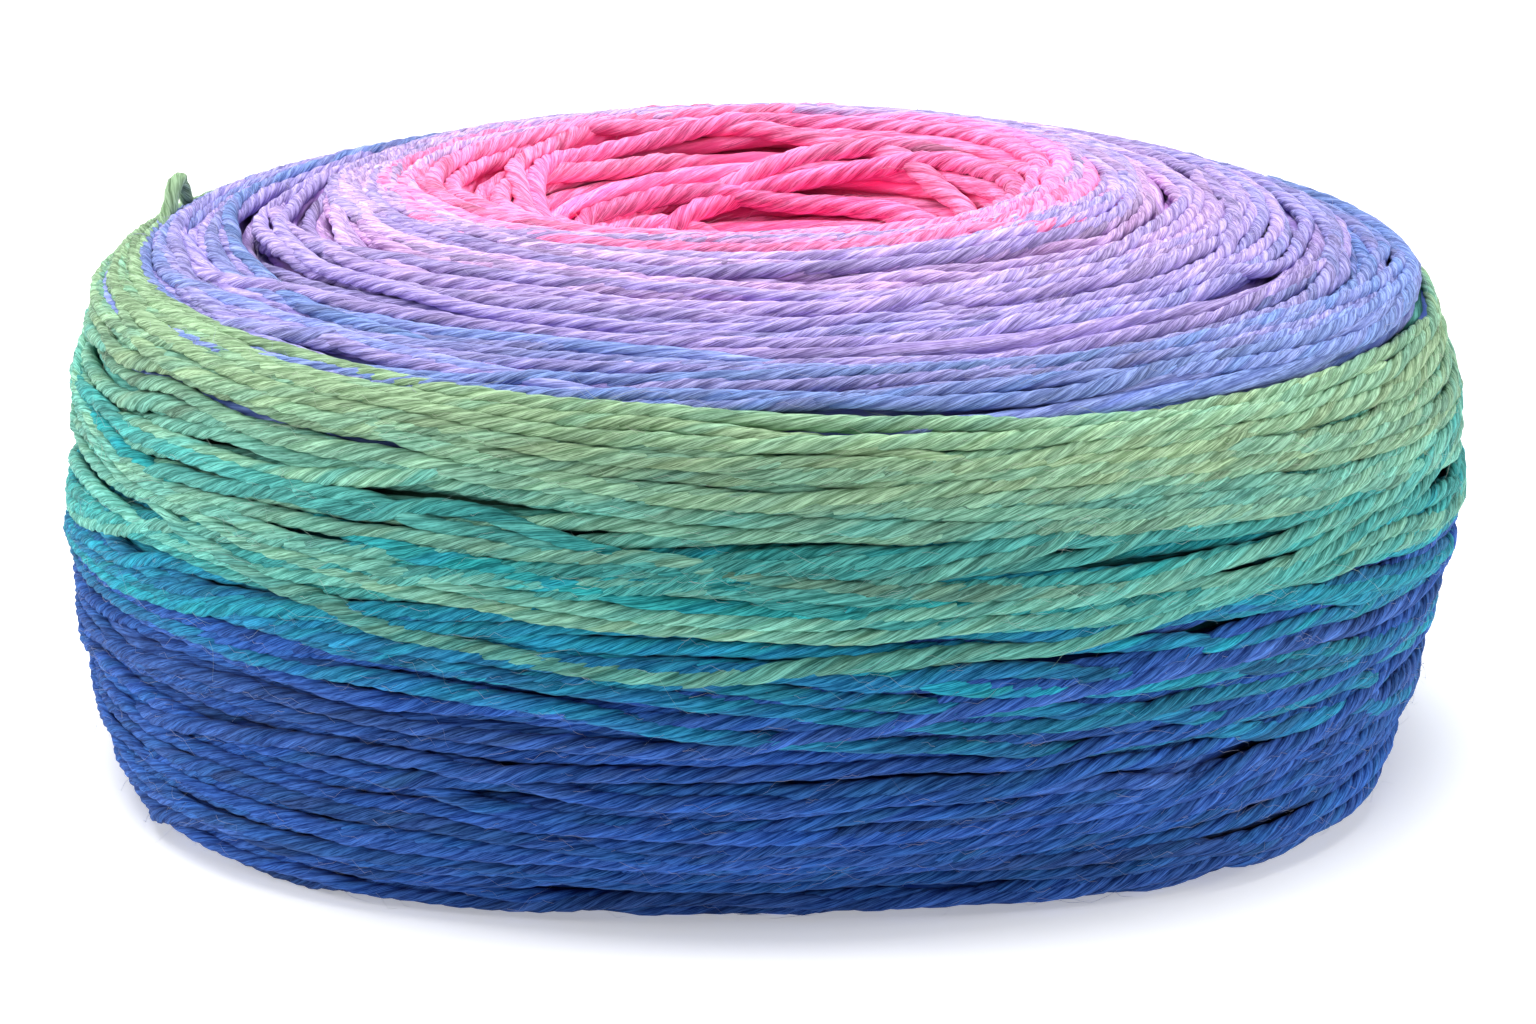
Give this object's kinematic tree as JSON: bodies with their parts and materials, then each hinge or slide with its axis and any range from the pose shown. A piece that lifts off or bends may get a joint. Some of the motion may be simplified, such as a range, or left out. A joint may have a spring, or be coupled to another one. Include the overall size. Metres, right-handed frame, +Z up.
{
  "type": "yarn cake",
  "caption": "Low round drum of soft plied yarn, wound in swaying turns with a hollow centre, for knitting or crochet from the middle or the outside.",
  "frame": {"origin": "centre of the foot, on the surface that the cake lies on", "axes": "+Z up through the hollow along the winding axis, -Y towards the front of the picture, +X to its right"},
  "size_m": [0.1406, 0.1399, 0.0585],
  "materials": {
    "yarn": "soft matte plied yarn with a fine halo, dyed in a slow change from pink through lilac and blue to sage green"
  },
  "bodies": {
    "root": {"wound_yarn": "yarn"}
  },
  "joints": []
}
